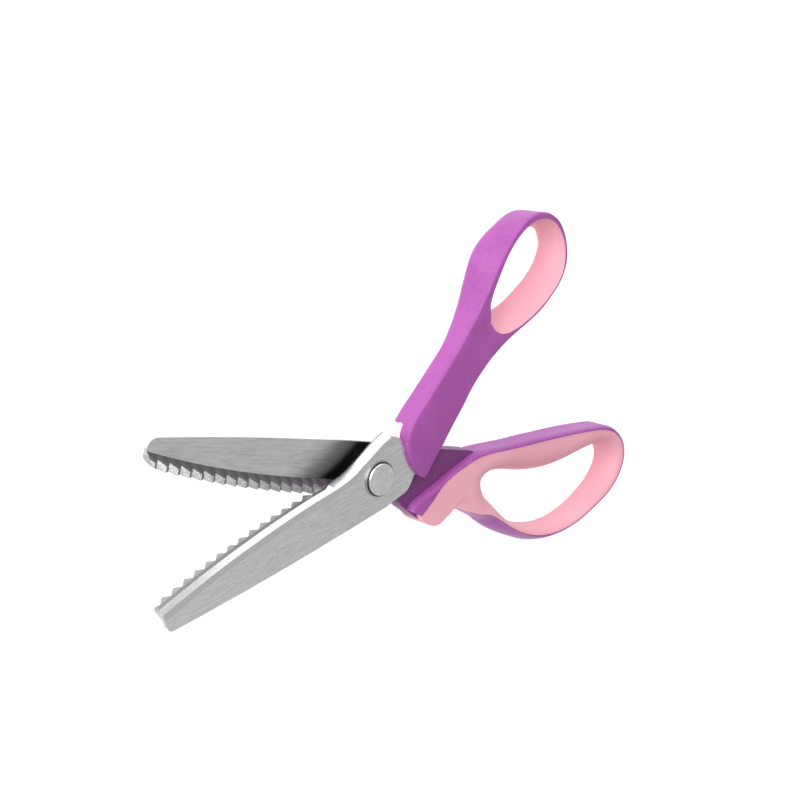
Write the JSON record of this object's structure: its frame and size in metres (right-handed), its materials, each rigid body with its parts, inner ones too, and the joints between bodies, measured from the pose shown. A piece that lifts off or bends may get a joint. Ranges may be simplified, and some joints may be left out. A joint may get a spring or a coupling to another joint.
{
  "type": "pinking shears",
  "caption": "Open decorative edge shears: zigzag-toothed steel blades on a round-headed pivot, with two-tone soft-lined thumb ring and long finger bow.",
  "frame": {"origin": "on the pivot axis, in the plane that the shears rest on, at the centre of the pivot nut's flat end", "axes": "+X from the blade tips towards the handles along the rear blade, +Z along the pivot axis out of the front face"},
  "size_m": [0.2494, 0.1668, 0.0148],
  "materials": {
    "blade_steel": "satin, brushed lengthwise",
    "pivot_steel": "satin",
    "nylon": "matte",
    "purple_plastic": "satin moulded",
    "pink_lining": "soft satin"
  },
  "bodies": {
    "lower_half": {"rear_blade": "blade_steel", "pivot_bolt": "pivot_steel", "head_washer": "pivot_steel", "bearing_spacer": "pivot_steel", "glide_washer": "nylon", "spring_washer": "pivot_steel", "pivot_nut": "pivot_steel", "finger_shell": "purple_plastic", "finger_lining": "pink_lining"},
    "upper_half": {"front_blade": "blade_steel", "thumb_shell": "purple_plastic", "thumb_lining": "pink_lining"}
  },
  "joints": [
    {"name": "pivot", "type": "hinge", "parent": "lower_half", "child": "upper_half", "pos_m": [0, 0, 0], "axis": [0, 0, 1], "range_deg": [-29, 22]}
  ]
}
